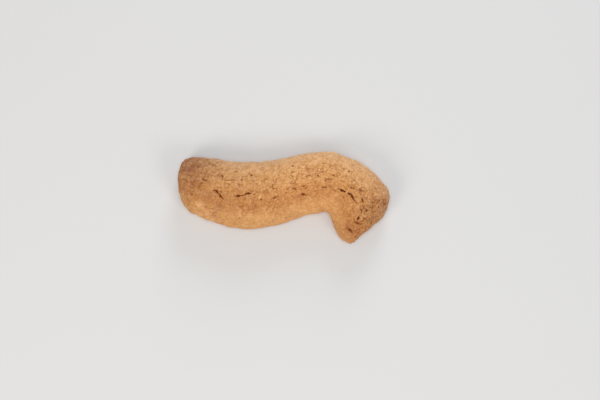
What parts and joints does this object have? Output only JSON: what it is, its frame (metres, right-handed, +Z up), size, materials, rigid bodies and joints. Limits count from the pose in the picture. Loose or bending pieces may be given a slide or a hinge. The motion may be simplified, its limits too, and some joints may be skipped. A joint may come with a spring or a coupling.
{
  "type": "hazelnut cookie",
  "caption": "Hand-rolled finger-shaped hazelnut cookie with a flat base, a domed cracked crust, one blunt end and one end folded into a short hook.",
  "frame": {"origin": "middle of the cookie's footprint, on the surface that its flat base lies on", "axes": "+Z up out of the domed crust, +X along the finger from its blunt end to the folded end, +Y to the cookie's far side, away from the hook"},
  "size_m": [0.0848, 0.037, 0.0148],
  "materials": {
    "baked_crust": "matt, dry golden-brown baked dough with fine crumb, hazelnut flecks, small cracks and browner ends"
  },
  "bodies": {
    "root": {"cookie": "baked_crust"}
  },
  "joints": []
}
